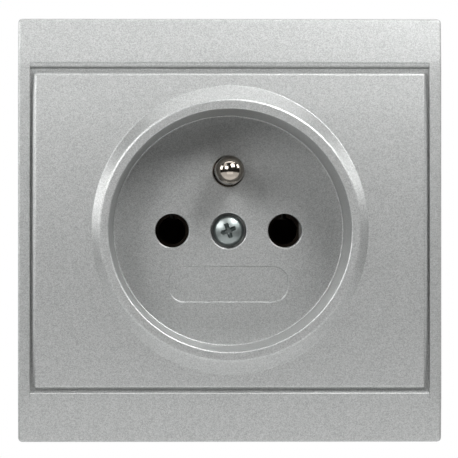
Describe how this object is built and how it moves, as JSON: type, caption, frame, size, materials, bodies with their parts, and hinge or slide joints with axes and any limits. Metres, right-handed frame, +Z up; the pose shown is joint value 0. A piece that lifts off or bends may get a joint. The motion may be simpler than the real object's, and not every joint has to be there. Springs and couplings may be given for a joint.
{
  "type": "modular wall socket",
  "caption": "Square wall socket with a crowned plate in a trim frame, a round recessed well with pin holes, a projecting earth pin and a centre screw, on a base for a wall box.",
  "frame": {"origin": "middle of the socket on the wall's face, which is the back of the support frame", "axes": "+X to the right seen from the front, +Y into the wall, +Z up"},
  "size_m": [0.07, 0.04, 0.07],
  "materials": {
    "satin_silver": "satin silver paint with fine metal flake on moulded plastic",
    "zinc_steel": "bright zinc plating",
    "nickel_plate": "turned brass, nickel plated",
    "contact_bronze": "rolled bronze strip, darkened by heat and handling",
    "brass": "stamped and folded sheet brass",
    "spring_steel": "blank spring steel",
    "black_plastic": "moulded, fine matt texture",
    "base_plastic": "moulded, pale grey, matt"
  },
  "bodies": {
    "root": {"outer_frame": "satin_silver", "centre_plate": "satin_silver", "centre_screw": "zinc_steel", "support_frame": "zinc_steel", "cover_screw": "zinc_steel", "live_terminal_screw": "zinc_steel", "neutral_terminal_screw": "zinc_steel", "earth_terminal_screw": "zinc_steel", "base_rivets": "zinc_steel", "earth_pin": "nickel_plate", "live_contact": "contact_bronze", "neutral_contact": "contact_bronze", "earth_strip": "brass", "centre_bush": "brass", "live_terminal": "brass", "neutral_terminal": "brass", "earth_terminal": "brass", "live_contact_clip": "spring_steel", "neutral_contact_clip": "spring_steel", "contact_cover": "black_plastic", "socket_base": "base_plastic"}
  },
  "joints": []
}
